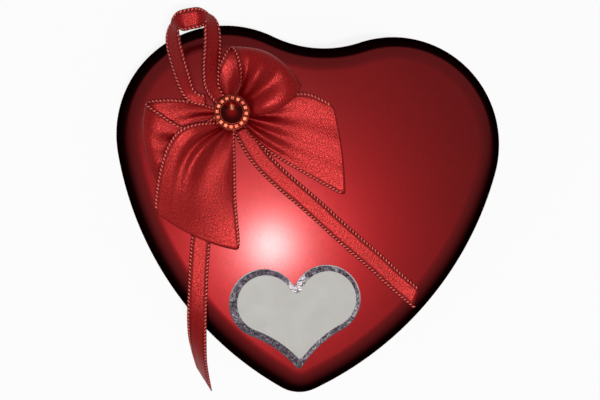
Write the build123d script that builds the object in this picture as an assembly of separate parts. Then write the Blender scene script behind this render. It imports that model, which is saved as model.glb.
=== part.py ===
from build123d import *
import math
import os

# Heart-shaped gift tin with a lift-off lid, a satin ribbon bow, a jewelled brooch and a foil label.
# Millimetres, +Z up. The origin lies under the middle of the heart, on the surface it stands on.
# +Y points to the two lobes, -Y to the tip.

# Heart outline of the lid: tangent arcs, the same on both sides
heart_width = 110.0
heart_length = 103.5
lobe_radius = 31.0
notch_radius = 33.0
flank_radius = 96.0
tip_radius = 10.5

# Tinplate, heights and fits
tinplate = 0.3
tin_height = 38.0
lid_depth = 16.0
lid_clearance = 0.35
seat_gap = 0.3
seam_clearance = 0.05

# Lid: pillowed edge and rolled hem
crown_rise = 1.5
crown_width = 6.0
crown_radius = 10.0
shoulder_radius = 4.0
hem_radius = 0.9
hem_proud = 0.15

# Base: rolled rim, lap seam and seamed-on floor
rim_radius = 0.9
rim_proud = 0.1
floor_recess = 2.4
lap_width = 6.0

# Foil label near the tip: shares of the heart's width and length, and of the label's own
label_width_share = 0.33818
label_length_share = 0.28502
label_lobe_share = 0.26263
label_flank_share = 1.05263
label_rise_share = 0.10879
label_corner_radius = 0.9
label_border = 1.8
label_turn = 6.3
label_offset_x = -2.0
foil_thickness = 0.2
face_thickness = 0.1
face_shift = 0.5

# Bow centre, measured from the centre of the left lobe, and the bundle in its middle
bow_offset_x = 1.0
bow_offset_y = 5.7
glue_radius = 3.6
glue_thickness = 0.6
knot_radius = 3.4
knot_waist = 0.3
knot_height = 4.4
root_clearance = 0.15

# Wide satin ribbon
wide_ribbon = 25.0
ribbon_thickness = 0.3
root_width = 6.4
tail_root_share = 0.21
loop_low_root_share = 0.53
fold_share = 0.11
fold_count = 2.5
fold_facets = 15

# Wide loops: reach from the bow centre, crest above the lid, direction in degrees
right_loop_reach = 17.6
right_loop_crest = 9.6
right_loop_span = 23.6
right_loop_angle = 59.0
left_loop_reach = 23.6
left_loop_crest = 8.6
left_loop_span = 16.4
left_loop_angle = 197.0
# Along the loop: reach, height, spread of the width, depth of the folds
loop_shares = (
    (0.00, 0.00, 0.00, 1.0),
    (0.16, 0.00, 0.12, 1.0),
    (0.40, 0.02, 0.50, 0.7),
    (0.64, 0.06, 0.88, 0.35),
    (0.84, 0.16, 1.00, 0.1),
    (0.96, 0.32, 1.00, 0.0),
    (1.00, 0.52, 1.00, 0.0),
    (0.95, 0.72, 1.00, 0.0),
    (0.83, 0.89, 1.00, -0.2),
    (0.64, 1.00, 0.94, -0.6),
    (0.43, 0.84, 0.56, -1.1),
    (0.27, 0.47, 0.24, -1.2),
    (0.12, 0.19, 0.08, -1.1),
    (0.00, 0.17, 0.00, -1.0),
)

# Wide tails: reach to the middle of the cut end, direction and slant of the cut in degrees
down_tail_reach = 34.3
down_tail_angle = 258.0
down_tail_slant = 9.0
right_tail_reach = 31.8
right_tail_angle = -16.0
right_tail_slant = -26.0
tail_height = 1.7
# Along a tail: reach, sideways shift, spread of the width, share of the slant, depth of the folds
down_tail_shares = (
    (0.00, 0.00, 0.00, 0.0, 1.0),
    (0.12, -0.06, 0.24, 0.0, 1.1),
    (0.32, -0.20, 0.66, 0.0, 1.3),
    (0.55, -0.14, 0.82, 0.2, 1.2),
    (0.80, -0.05, 0.93, 0.6, 0.8),
    (1.00, 0.00, 1.00, 1.0, 0.5),
)
right_tail_shares = (
    (0.00, 0.00, 0.00, 0.0, 1.0),
    (0.12, 0.02, 0.20, 0.0, 1.1),
    (0.32, 0.08, 0.48, 0.1, 1.2),
    (0.55, 0.11, 0.76, 0.4, 1.0),
    (0.80, 0.04, 0.92, 0.8, 0.7),
    (1.00, 0.00, 0.96, 1.0, 0.4),
)

# Narrow satin ribbon: the routes run from the bow centre, at the height of the lid's top.
# The streamers are drawn for a heart of this length over width, and follow another one's proportions.
# They are stretched so that one of their points keeps its distance inside the lid's edge.
narrow_ribbon = 5.5
route_proportion_share = 0.94091
streamer_left_edge_count = 6
streamer_left_edge_inset = 0.375
streamer_right_edge_count = 7
streamer_right_edge_inset = 4.705
arc_share = 0.45
stations_per_run = 4
streamer_left_route = (
    (-2.7, -3.5, 0.35),
    (-4.2, -12.5, 0.40),
    (-5.8, -22.5, 0.35),
    (-6.7, -32.5, 0.40),
    (-7.0, -42.0, 0.50),
    (-6.9, -50.5, 0.45),
    (-6.7, -58.0, -0.10),
    (-6.2, -64.8, -2.40),
    (-5.3, -71.0, -6.00),
    (-4.0, -76.6, -10.50),
)
streamer_right_route = (
    (2.9, -3.1, 0.40),
    (6.4, -9.8, 0.45),
    (13.5, -16.6, 0.40),
    (23.0, -23.6, 0.36),
    (33.0, -31.9, 0.36),
    (43.5, -39.9, 0.36),
    (50.3, -45.7, 0.45),
    (54.75, -48.95, 0.90),
)
hanging_loop_route = (
    (-2.35, 2.65, 3.4),
    (-4.7, 7.1, 4.2),
    (-5.7, 12.4, 6.6),
    (-5.9, 17.4, 8.7),
    (-6.2, 21.4, 9.8),
    (-7.2, 24.3, 10.4),
    (-9.8, 24.2, 10.7),
    (-14.4, 23.0, 10.6),
    (-16.4, 21.6, 10.2),
    (-16.6, 17.8, 9.0),
    (-15.0, 12.2, 7.3),
    (-12.8, 8.0, 6.3),
    (-9.6, 5.7, 5.7),
    (-6.3, 4.9, 5.2),
)
# At each point of a route: how far the band leans inwards, in degrees, and its share of the full width
streamer_left_lean = (0, 0, 0, 0, 0, 0, 0, 0, -3, -6)
streamer_right_lean = (0, 0, 0, 0, 0, 0, 0, 4)
hanging_loop_lean = (0, 4, 12, 24, 40, 56, 16, 16, 56, 28, 9, 0, -6, -6)
hanging_loop_width_shares = (0.58, 0.94, 1, 1, 1, 1, 1, 1, 1, 1, 1, 1, 1, 1)

# Brooch: cup with a bead channel and a bezel, ring of beads, conical centre stone
cup_radius = 4.8
cup_base = 0.5
cup_wall = 0.25
cup_wall_height = 1.0
bezel_height = 1.5
bead_radius = 0.62
bead_count = 16
bead_clearance = 0.03
stone_radius = 2.95
stone_girdle = 0.5
stone_height = 2.6
stone_tip_radius = 0.45

# Worked-out places
lobe_x = heart_width / 2 - lobe_radius
lobe_y = heart_length / 2 - lobe_radius
lobe_centre = Vector(lobe_x, lobe_y)
notch_centre = Vector(0, lobe_y + math.sqrt((lobe_radius + notch_radius) ** 2 - lobe_x**2))
tip_centre = Vector(0, tip_radius - heart_length / 2)
label_width = label_width_share * heart_width
label_length = label_length_share * heart_length
label_lobe_radius = label_lobe_share * label_width
label_flank_radius = label_flank_share * label_length
hem_level = tin_height - lid_depth + hem_radius
base_inset = 2 * hem_radius - hem_proud + lid_clearance + rim_proud
crown_slope = math.atan2(crown_rise, crown_width)
shoulder_inner = shoulder_radius - tinplate
shoulder_drop = crown_rise + shoulder_inner * math.tan(math.pi / 4 - crown_slope / 2)
shoulder_level = tin_height - tinplate - shoulder_drop
rim_inset = base_inset + rim_radius - rim_proud
rim_reach = shoulder_inner - rim_radius - seat_gap
rim_level = shoulder_level + math.sqrt(rim_reach**2 - (shoulder_radius - rim_inset) ** 2)
bow_centre = Vector(bow_offset_x - lobe_x, bow_offset_y + lobe_y, tin_height)
root_reach = knot_radius + root_clearance
brooch_level = glue_thickness + knot_height
fold_height = fold_share * knot_height


def circles_meet(first, first_radius, second, second_radius, side):
    """The meeting point of two circles, on the side of the line between centres that is asked for."""
    gap = second - first
    along = (gap.length**2 + first_radius**2 - second_radius**2) / (2 * gap.length)
    away = math.sqrt(first_radius**2 - along**2)
    unit = gap.normalized()
    return first + unit * along + Vector(-unit.Y, unit.X) * away * side


def heading(vector):
    """The direction of a vector in the plane, in degrees."""
    return math.degrees(math.atan2(vector.Y, vector.X))


def arc(centre, radius, start, stop):
    """A circular arc from one direction to another, both in degrees."""
    reach = Vector(radius, 0)
    spots = [centre + reach.rotate(Axis.Z, turn) for turn in (start, (start + stop) / 2, stop)]
    return Edge.make_three_point_arc(*spots)


def mirrored(edges):
    """The edges of the right half, together with their mirror images."""
    return edges + [edge.mirror(Plane.YZ) for edge in edges]


flank_centre = circles_meet(
    lobe_centre, flank_radius - lobe_radius, tip_centre, flank_radius - tip_radius, -1
)


def heart_face(inset, level):
    """The heart, drawn in by an inset that keeps its arcs tangent, as a flat face."""
    notch_turn = heading(notch_centre - lobe_centre)
    flank_turn = heading(lobe_centre - flank_centre)
    tip_turn = heading(tip_centre - flank_centre)
    right_half = [
        arc(notch_centre, notch_radius + inset, -90, notch_turn - 180),
        arc(lobe_centre, lobe_radius - inset, notch_turn, flank_turn),
        arc(flank_centre, flank_radius - inset, flank_turn, tip_turn),
        arc(tip_centre, tip_radius - inset, tip_turn, -90),
    ]
    outline = Wire(mirrored(right_half), sequenced=True)
    return Face(outline).moved(Pos(0, 0, level))


def heart_prism(inset, low, high):
    return extrude(heart_face(inset, low), amount=high - low, dir=(0, 0, 1))


def heart_band(outer, inner, low, high):
    return heart_prism(outer, low, high) - heart_prism(inner, low, high)


def heart_bead(inset, level, radius):
    """A round bead that runs all the way round the heart."""
    path = heart_face(inset, level).outer_wire()
    return sweep(Plane(path @ 0, z_dir=path % 0) * Circle(radius), path=path)


def edges_at(shape, level):
    return shape.edges().filter_by_position(Axis.Z, level, level)


def lid_form(inset):
    """The outside of the lid for inset 0, or its inside for an inset of one tinplate."""
    top = tin_height - inset
    crown_low = top - crown_rise
    skirt = heart_prism(inset, hem_level, crown_low)
    crown = loft([heart_face(inset, crown_low), heart_face(inset + crown_width, top)], ruled=True)
    form = skirt + crown
    form = fillet(edges_at(form, top), crown_radius - inset)
    return fillet(edges_at(form, crown_low), shoulder_radius - inset)


def lid_shell():
    hem = heart_bead(hem_radius - hem_proud, hem_level, hem_radius)
    return lid_form(0) - lid_form(tinplate) + hem


def base_wall():
    """The side band, with its rim rolled inwards and a lap seam inside the notch."""
    inner = base_inset + tinplate
    band = heart_band(base_inset, inner, tinplate, rim_level)
    rim = heart_bead(rim_inset, rim_level, rim_radius)
    lap = heart_band(base_inset, inner + tinplate, floor_recess + tinplate, rim_level)
    lap_space = Pos(0, heart_length / 2, tin_height / 2) * Box(lap_width, heart_length, tin_height)
    return band + rim + (lap & lap_space)


def base_floor():
    """The recessed floor, whose edge folds round the lower edge of the side band."""
    fold_outer = base_inset - seam_clearance - tinplate
    wall_inner = base_inset + tinplate + seam_clearance
    outer_lip = heart_band(fold_outer, fold_outer + tinplate, 0, floor_recess)
    turn = heart_band(fold_outer, wall_inner + tinplate, 0, tinplate)
    inner_lip = heart_band(wall_inner, wall_inner + tinplate, 0, floor_recess)
    panel = heart_prism(wall_inner, floor_recess - tinplate, floor_recess)
    return outer_lip + turn + inner_lip + panel


def label_outline(inset):
    """A heart with round lobes and flanks that curve inwards to the tip, drawn in by an inset."""
    lobe = Vector(label_width / 2 - label_lobe_radius, label_length / 2 - label_lobe_radius)
    notch = Vector(0, lobe.Y + math.sqrt(label_lobe_radius**2 - lobe.X**2))
    tip = Vector(0, -label_length / 2)
    reach = label_lobe_radius + label_flank_radius
    flank = circles_meet(lobe, reach, tip, label_flank_radius, 1)
    lobe_stop = heading(flank - lobe)
    flank_reach = label_flank_radius + inset
    flank_stop = math.degrees(math.acos(-flank.X / flank_reach))
    right_half = [
        arc(lobe, label_lobe_radius - inset, heading(notch - lobe), lobe_stop),
        arc(flank, flank_reach, lobe_stop + 180, flank_stop),
    ]
    if inset:
        right_half.insert(0, arc(notch, inset, -90, heading(lobe - notch)))
    face = Face(Wire(mirrored(right_half), sequenced=True))
    return fillet(face.vertices().sort_by(Axis.Y)[0], label_corner_radius)


def label_place():
    spot = tip_centre + Vector(label_offset_x, label_rise_share * heart_length, tin_height)
    return Pos(spot) * Rot(0, 0, label_turn)


def label_foil():
    return label_place() * extrude(label_outline(0), amount=foil_thickness, dir=(0, 0, 1))


def label_face():
    sheet = extrude(label_outline(label_border), amount=face_thickness, dir=(0, 0, 1))
    return label_place() * Pos(face_shift, 0, foil_thickness) * sheet


def bow_glue_pad():
    pad = Pos(0, 0, glue_thickness / 2) * Cylinder(glue_radius, glue_thickness)
    return Pos(bow_centre) * pad


def bow_knot():
    """The gathered middle of the bow: a short bundle, drawn in at its waist."""
    foot = Vector(knot_radius, 0, glue_thickness)
    waist = Vector(knot_radius - knot_waist, 0, glue_thickness + knot_height / 2)
    head = Vector(knot_radius, 0, brooch_level)
    side = Edge.make_three_point_arc(foot, waist, head)
    low = Edge.make_line(Vector(0, 0, glue_thickness), foot)
    high = Edge.make_line(head, Vector(0, 0, brooch_level))
    axis = Edge.make_line(Vector(0, 0, brooch_level), Vector(0, 0, glue_thickness))
    return Pos(bow_centre) * revolve(Face(Wire([low, side, high, axis])), Axis.Z)


def ribbon_section(middle, across, normal, half_width, folds, facets):
    """The cut through a ribbon: a thin strip that waves across its width."""
    upper = []
    lower = []
    for step in range(facets + 1):
        place = 2 * step / facets - 1
        wave = math.cos(fold_count * math.pi * place)
        spot = middle + across * (half_width * place) + normal * (folds * wave)
        upper.append(spot + normal * (ribbon_thickness / 2))
        lower.append(spot - normal * (ribbon_thickness / 2))
    return Wire.make_polygon(upper + lower[::-1], close=True)


def wide_loop(reach, crest, span, angle):
    """A loop of wide ribbon: out along the lid, round the far bend and back over itself."""
    low = glue_thickness + loop_low_root_share * knot_height
    spine = []
    for out, up, _, _ in loop_shares:
        spine.append(Vector(root_reach + out * (reach - root_reach), 0, low + up * (crest - low)))
    sections = []
    for number, (_, _, spread, folds) in enumerate(loop_shares):
        before = spine[max(number - 1, 0)]
        after = spine[min(number + 1, len(spine) - 1)]
        along = (after - before).normalized()
        normal = Vector(-along.Z, 0, along.X)
        half_width = (root_width + spread * (span - root_width)) / 2
        across = Vector(0, 1, 0)
        sections.append(
            ribbon_section(spine[number], across, normal, half_width, folds * fold_height, fold_facets)
        )
    loop = Solid.make_loft(sections[:2], ruled=True)
    for before, after in zip(sections[1:], sections[2:]):
        loop += Solid.make_loft([before, after], ruled=True)
    return Pos(bow_centre) * Rot(0, 0, angle) * loop


def wide_tail(reach, angle, slant, shares):
    """A tail of wide ribbon that fans out from the knot and lies in folds on the lid."""
    root_level = glue_thickness + tail_root_share * knot_height
    sections = []
    for out, shift, spread, turned, folds in shares:
        level = root_level + out * (tail_height - root_level)
        middle = Vector(root_reach + out * (reach - root_reach), shift * wide_ribbon, level)
        half_width = (root_width + spread * (wide_ribbon - root_width)) / 2
        lean = math.radians(slant * turned)
        across = Vector(math.tan(lean), 1, 0)
        sections.append(
            ribbon_section(middle, across, Vector(0, 0, 1), half_width, folds * fold_height, fold_facets)
        )
    return Pos(bow_centre) * Rot(0, 0, angle) * Solid.make_loft(sections, ruled=True)


def stretched(route, number, edge_inset, side):
    """A route, drawn out from its first point until the numbered point lies just inside the lid's edge."""
    first = Vector(*route[0])
    proportion = heart_length / heart_width / route_proportion_share
    steps = [Vector(x - first.X, (y - first.Y) * proportion) for x, y, _ in route]
    run = steps[number]
    flank = Vector(flank_centre.X * side, flank_centre.Y)
    offset = Vector(bow_centre.X + first.X, bow_centre.Y + first.Y) - flank
    along = run.normalized().dot(offset)
    edge_run = math.sqrt(along**2 - offset.length**2 + flank_radius**2) - along
    stretch = (edge_run - edge_inset) / run.length
    return [
        (first.X + step.X * stretch, first.Y + step.Y * stretch, point[2])
        for step, point in zip(steps, route)
    ]


def between(values, shares, share):
    """A value read off a list by how far along the list's places the share lies."""
    number = max(index for index in range(len(shares) - 1) if shares[index] <= share)
    part = (share - shares[number]) / (shares[number + 1] - shares[number])
    return values[number] + part * (values[number + 1] - values[number])


def narrow_band(name, route, leans, width_shares):
    """A band of narrow ribbon along a route of straight runs and tangent arcs, leaning as it turns."""
    points = [Vector(*point) for point in route]
    runs = [after - before for before, after in zip(points, points[1:])]
    radii = []
    for before, after in zip(runs, runs[1:]):
        half_turn = math.radians(before.get_angle(after) / 2)
        radii.append(arc_share * min(before.length, after.length) / math.tan(half_turn))
    path = FilletPolyline(*points, radius=radii)
    print(name, "length", round(path.length, 1), "radii", [round(radius, 1) for radius in radii])
    travelled = [0]
    for run in runs:
        travelled.append(travelled[-1] + run.length)
    shares = [length / travelled[-1] for length in travelled]
    stations = stations_per_run * len(runs)
    sections = []
    for station in range(stations + 1):
        share = station / stations
        along = path % share
        lean = math.radians(between(leans, shares, share))
        level = Vector(0, 0, 1).cross(along).normalized()
        across = level * math.cos(lean) + along.cross(level) * math.sin(lean)
        half_width = narrow_ribbon * between(width_shares, shares, share) / 2
        sections.append(ribbon_section(path @ share, across, along.cross(across), half_width, 0, 1))
    return Pos(bow_centre) * Solid.make_loft(sections, ruled=True)


def bead_ring_radius():
    return stone_radius + cup_wall + bead_radius + 2 * bead_clearance


def brooch_place():
    return Pos(bow_centre) * Pos(0, 0, brooch_level)


def upright_ring(radius, wall, low, high):
    """A round wall of the given outer radius between two heights."""
    ring = Circle(radius) - Circle(radius - wall)
    return extrude(Pos(0, 0, low) * ring, amount=high - low, dir=(0, 0, 1))


def brooch_cup():
    """The metal setting: a disc with a bezel for the stone and an outer wall that holds the beads."""
    disc = extrude(Circle(cup_radius), amount=cup_base)
    outer = upright_ring(cup_radius, cup_wall, 0, cup_base + cup_wall_height)
    bezel_radius = stone_radius + bead_clearance + cup_wall
    bezel = upright_ring(bezel_radius, cup_wall, 0, cup_base + bezel_height)
    return brooch_place() * (disc + outer + bezel)


def brooch_beads():
    level = cup_base + bead_radius + bead_clearance
    ring = PolarLocations(bead_ring_radius(), bead_count)
    beads = [brooch_place() * Pos(0, 0, level) * spot * Sphere(bead_radius) for spot in ring]
    return Compound(children=beads)


def brooch_stone():
    """The conical centre stone: a short girdle under a cone with a rounded tip."""
    girdle_top = bezel_height + stone_girdle
    tip = Vector(0, 0, girdle_top + stone_height)
    shoulder = Vector(stone_tip_radius, 0, tip.Z - stone_tip_radius)
    slant = stone_tip_radius * math.sin(math.pi / 4)
    rounding = Vector(slant, 0, shoulder.Z + slant)
    edges = [
        Edge.make_line(Vector(0, 0, 0), Vector(stone_radius, 0, 0)),
        Edge.make_line(Vector(stone_radius, 0, 0), Vector(stone_radius, 0, girdle_top)),
        Edge.make_line(Vector(stone_radius, 0, girdle_top), shoulder),
        Edge.make_three_point_arc(shoulder, rounding, tip),
        Edge.make_line(tip, Vector(0, 0, 0)),
    ]
    return brooch_place() * Pos(0, 0, cup_base) * revolve(Face(Wire(edges)), Axis.Z)


def build():
    """Every piece of the tin, by name."""
    return {
        "base_wall": base_wall(),
        "base_floor": base_floor(),
        "lid_shell": lid_shell(),
        "label_foil": label_foil(),
        "label_face": label_face(),
        "bow_glue_pad": bow_glue_pad(),
        "bow_knot": bow_knot(),
        "bow_right_loop": wide_loop(
            right_loop_reach, right_loop_crest, right_loop_span, right_loop_angle
        ),
        "bow_left_loop": wide_loop(left_loop_reach, left_loop_crest, left_loop_span, left_loop_angle),
        "bow_down_tail": wide_tail(
            down_tail_reach, down_tail_angle, down_tail_slant, down_tail_shares
        ),
        "bow_right_tail": wide_tail(
            right_tail_reach, right_tail_angle, right_tail_slant, right_tail_shares
        ),
        "streamer_left": narrow_band(
            "streamer_left",
            stretched(streamer_left_route, streamer_left_edge_count, streamer_left_edge_inset, -1),
            streamer_left_lean,
            [1] * len(streamer_left_route),
        ),
        "streamer_right": narrow_band(
            "streamer_right",
            stretched(streamer_right_route, streamer_right_edge_count, streamer_right_edge_inset, 1),
            streamer_right_lean,
            [1] * len(streamer_right_route),
        ),
        "hanging_loop": narrow_band(
            "hanging_loop", hanging_loop_route, hanging_loop_lean, hanging_loop_width_shares
        ),
        "brooch_cup": brooch_cup(),
        "brooch_beads": brooch_beads(),
        "brooch_stone": brooch_stone(),
    }


os.makedirs("parts", exist_ok=True)
for node, shape in build().items():
    export_step(shape, f"parts/{node}.step")
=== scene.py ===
"""The looks of a heart gift tin: lacquered lid and base, foil label, satin bow, brooch and stage."""

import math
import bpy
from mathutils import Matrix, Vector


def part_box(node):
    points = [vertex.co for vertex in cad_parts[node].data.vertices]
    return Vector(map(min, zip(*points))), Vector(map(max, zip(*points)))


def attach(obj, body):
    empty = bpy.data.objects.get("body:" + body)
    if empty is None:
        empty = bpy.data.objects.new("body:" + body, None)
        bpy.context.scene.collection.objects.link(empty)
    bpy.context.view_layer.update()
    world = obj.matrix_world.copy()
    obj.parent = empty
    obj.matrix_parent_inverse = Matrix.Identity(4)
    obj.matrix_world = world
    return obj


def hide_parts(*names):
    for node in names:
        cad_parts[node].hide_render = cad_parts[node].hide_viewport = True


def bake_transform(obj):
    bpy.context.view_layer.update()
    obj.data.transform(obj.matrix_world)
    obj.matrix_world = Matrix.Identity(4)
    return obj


bl_info = {
    "name": "Heart Gift Tin",
    "version": (1, 0, 0),
    "blender": (4, 5, 0),
    "location": "View3D > Sidebar > Heart Tin",
    "description": "Builds the looks of a heart-shaped gift tin round its packed parts",
    "category": "Add Mesh",
}

import bmesh
import bpy
from bmesh.types import BMEdge, BMFace, BMVert
from bpy.props import FloatProperty, FloatVectorProperty, IntProperty, PointerProperty
from mathutils import Matrix, Vector, noise

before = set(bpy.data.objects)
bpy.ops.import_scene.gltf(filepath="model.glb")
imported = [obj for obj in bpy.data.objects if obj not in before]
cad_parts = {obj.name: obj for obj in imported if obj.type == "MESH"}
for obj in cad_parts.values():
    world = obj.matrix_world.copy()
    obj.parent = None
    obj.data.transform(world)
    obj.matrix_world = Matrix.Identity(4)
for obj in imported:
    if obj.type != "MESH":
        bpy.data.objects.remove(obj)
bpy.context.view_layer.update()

MM = 0.001
MM_PER_METRE = 1000.0
UV_NAME = "UVMap"
UP = Vector((0, 0, 1))
# Points of a shape that are closer than this become one.
MERGE_DISTANCE = 0.002 * MM

pad_low, pad_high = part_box("bow_glue_pad")
knot_low, knot_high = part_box("bow_knot")
bead_low, bead_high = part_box("brooch_beads")
stone_low, stone_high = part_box("brooch_stone")
foil_low, foil_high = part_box("label_foil")
lid_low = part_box("lid_shell")[0]
wall_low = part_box("base_wall")[0]
lid_top = foil_low.z
foil_centre = Vector(((foil_low.x + foil_high.x) / 2, (foil_low.y + foil_high.y) / 2, foil_high.z))
bow_centre = Vector(((pad_low.x + pad_high.x) / 2, (pad_low.y + pad_high.y) / 2, pad_low.z))

# Wide ribbon, in millimetres from the bow centre at the height of the lid's top.
# Each row across it: left edge, middle and right edge, looking out from the knot, and its fold depth.
# The fold shares say how much of that depth each column along the ribbon rises or sinks.
RIGHT_LOOP_ROWS = (
    ((-0.4, 4.0, 3.5), (1.9, 3.1, 3.6), (3.9, 0.9, 3.5), 0.9),
    ((0.9, 4.9, 3.7), (3.0, 4.4, 3.8), (5.0, 0.0, 3.7), 0.8),
    ((1.6, 6.4, 6.2), (4.2, 6.0, 6.1), (7.2, -0.4, 4.6), 1.4),
    ((2.0, 9.0, 8.0), (6.0, 8.8, 7.4), (10.4, -0.1, 5.0), 1.4),
    ((1.4, 12.3, 8.5), (7.8, 11.4, 7.8), (13.4, 1.0, 5.2), 1.1),
    ((0.5, 15.1, 8.2), (9.2, 13.7, 7.9), (16.0, 3.1, 5.3), 0.7),
    ((-0.5, 17.0, 7.0), (10.2, 15.5, 7.3), (17.9, 5.4, 5.2), 0.3),
    ((-1.5, 18.1, 5.2), (10.8, 16.3, 5.6), (19.4, 8.3, 4.3), 0.0),
    ((-2.3, 17.2, 3.2), (10.0, 15.3, 3.8), (18.8, 8.0, 3.0), 0.0),
    ((-4.2, 13.5, 2.4), (7.0, 11.8, 3.0), (14.5, 6.0, 2.5), -0.4),
    ((-5.0, 10.1, 2.3), (4.6, 8.6, 2.8), (10.0, 4.0, 2.6), -0.8),
    ((-4.8, 7.0, 2.5), (2.9, 5.8, 2.8), (6.5, 2.6, 2.7), -1.1),
    ((-2.6, 3.6, 2.8), (1.9, 3.1, 2.9), (4.2, 1.2, 2.8), -1.0),
)
RIGHT_LOOP_FOLD_SHARES = (0.2, -0.6, -0.7, 0.3, 1.0, 1.0, -0.2, -0.9, 0.1, 0.8, 0.2, 0.8, 0.1)
LEFT_LOOP_ROWS = (
    ((-3.1, -2.4, 3.4), (-3.5, -1.0, 3.9), (-3.6, 0.2, 4.0), 1.4),
    ((-4.2, -4.6, 3.0), (-5.2, -3.0, 4.0), (-5.0, -1.6, 4.3), 1.6),
    ((-5.4, -8.8, 2.4), (-8.0, -6.0, 4.2), (-8.2, -3.8, 4.9), 1.7),
    ((-7.4, -13.2, 2.2), (-11.6, -8.4, 4.7), (-12.0, -5.2, 5.8), 1.6),
    ((-10.4, -17.4, 2.2), (-15.4, -9.4, 5.0), (-15.2, -3.9, 6.1), 1.2),
    ((-14.4, -19.8, 2.2), (-18.8, -9.8, 5.6), (-18.3, -1.8, 6.4), 0.5),
    ((-18.0, -20.8, 2.4), (-21.9, -9.6, 5.9), (-21.3, -0.1, 6.4), 0.1),
    ((-19.8, -20.4, 2.5), (-23.9, -8.6, 4.7), (-23.6, 1.5, 5.0), 0.0),
    ((-18.4, -19.2, 1.5), (-22.6, -8.0, 2.6), (-22.4, 2.3, 2.9), 0.0),
    ((-12.6, -16.0, 1.0), (-17.5, -6.0, 1.9), (-18.0, 3.0, 2.3), -0.5),
    ((-8.0, -12.0, 1.0), (-12.0, -3.5, 2.0), (-13.0, 3.1, 2.2), -0.8),
    ((-4.8, -7.0, 1.6), (-7.5, -1.6, 2.3), (-8.0, 2.3, 2.5), -1.1),
    ((-3.0, -2.6, 2.4), (-3.6, -0.8, 2.7), (-3.9, 1.2, 2.8), -1.1),
)
LEFT_LOOP_FOLD_SHARES = (-0.6, 0.3, -0.7, 0.0, -0.7, 0.3, -0.6, -0.2, -0.7, 0.1, 0.3, 0.1, 0.0)
DOWN_TAIL_ROWS = (
    ((0.9, -3.6, 1.8), (-0.6, -3.7, 2.5), (-2.2, -2.6, 3.0), 1.1),
    ((0.6, -5.6, 2.1), (-1.8, -6.0, 3.6), (-5.6, -2.9, 4.5), 1.5),
    ((1.0, -9.1, 2.0), (-4.6, -9.8, 4.4), (-10.8, -3.7, 6.2), 1.6),
    ((1.5, -13.0, 1.8), (-7.0, -14.2, 4.7), (-14.6, -5.6, 6.6), 1.2),
    ((1.9, -17.5, 1.6), (-8.4, -19.0, 4.5), (-17.4, -10.8, 6.2), 0.6),
    ((2.4, -24.0, 1.5), (-8.6, -25.0, 3.7), (-19.0, -18.2, 5.3), 0.25),
    ((3.4, -30.6, 1.5), (-8.2, -30.2, 2.6), (-19.6, -24.3, 4.2), 0.12),
    ((4.5, -37.8, 1.5), (-7.5, -34.8, 1.8), (-19.7, -28.0, 3.4), 0.1),
)
DOWN_TAIL_FOLD_SHARES = (0.4, 0.5, 0.35, 0.1, -0.2, -0.4, -0.3, 0.25, 0.7, -0.7, 0.6, 0.62, 0.62)
RIGHT_TAIL_ROWS = (
    ((3.4, 0.8, 2.2), (3.8, -1.0, 2.2), (3.2, -2.8, 2.0), 1.5),
    ((5.8, 2.2, 2.6), (6.8, -2.0, 2.4), (5.2, -5.8, 2.4), 2.0),
    ((10.0, 4.2, 2.8), (11.2, -3.0, 2.4), (9.2, -9.2, 1.9), 1.3),
    ((15.0, 6.0, 3.0), (16.2, -4.0, 2.3), (14.6, -12.2, 1.5), 0.4),
    ((19.7, 7.4, 3.0), (21.4, -5.2, 2.2), (20.4, -15.2, 1.3), 0.2),
    ((23.7, 6.0, 2.9), (26.6, -6.8, 2.1), (26.6, -18.3, 1.3), 0.2),
    ((27.8, 4.3, 2.7), (31.2, -8.0, 2.0), (33.0, -21.5, 1.4), 0.2),
)
RIGHT_TAIL_FOLD_SHARES = (0.2, 0.6, 0.1, -0.6, -0.2, 0.6, 0.4, -0.4, -0.5, 0.4, 0.6, -0.5, 0.3)

# How far each turned-under column of an edge lies below the one before it.
TUCK_DROP = 0.35

# Narrow ribbon: its routes from the bow centre, in millimetres. Along each route the band leans by these
# degrees and has these shares of its width, evenly spread.
STREAMER_LEFT_ROUTE = (
    (-2.7, -3.5, 0.35),
    (-4.2, -12.5, 0.40),
    (-5.8, -22.5, 0.35),
    (-6.7, -32.5, 0.40),
    (-7.0, -42.0, 0.50),
    (-6.9, -50.5, 0.45),
    (-6.8, -58.0, -0.10),
    (-6.4, -64.8, -2.60),
    (-5.5, -71.2, -6.40),
    (-4.1, -76.9, -10.50),
)
STREAMER_LEFT_LEANS = (0, 0, 0, 0, 0, 0, 4, 20, 42, 58)
STREAMER_RIGHT_ROUTE = (
    (2.9, -3.1, 0.40),
    (6.4, -9.8, 0.45),
    (13.5, -16.6, 0.40),
    (23.0, -23.6, 0.36),
    (33.0, -31.9, 0.36),
    (43.5, -39.9, 0.36),
    (50.3, -45.7, 0.45),
    (54.75, -48.95, 0.90),
)
STREAMER_RIGHT_LEANS = (0, 0, 0, 0, 0, 0, 0, 4)
HANGING_LOOP_ROUTE = (
    (-2.35, 2.65, 3.4),
    (-5.6, 5.4, 4.4),
    (-6.2, 10.8, 6.2),
    (-5.9, 16.6, 8.4),
    (-6.2, 21.4, 9.8),
    (-7.2, 24.3, 10.4),
    (-9.8, 24.2, 10.7),
    (-14.4, 23.0, 10.6),
    (-16.4, 21.6, 10.2),
    (-16.6, 17.8, 9.3),
    (-15.2, 13.0, 8.0),
    (-13.3, 7.7, 6.8),
    (-11.9, 4.3, 6.2),
    (-9.3, 2.8, 5.8),
    (-7.2, 2.9, 5.4),
)
HANGING_LOOP_LEANS = (0, 20, 34, 36, 42, 52, -6, -6, 52, 44, 42, 38, 20, 8, 8)
HANGING_LOOP_WIDTH_SHARES = (0.58, 0.85, 1, 1, 1, 0.88, 1, 1, 0.88, 1, 1, 0.92, 0.7, 0.6, 0.55)
FULL_WIDTH_SHARES = (1, 1)
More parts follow.
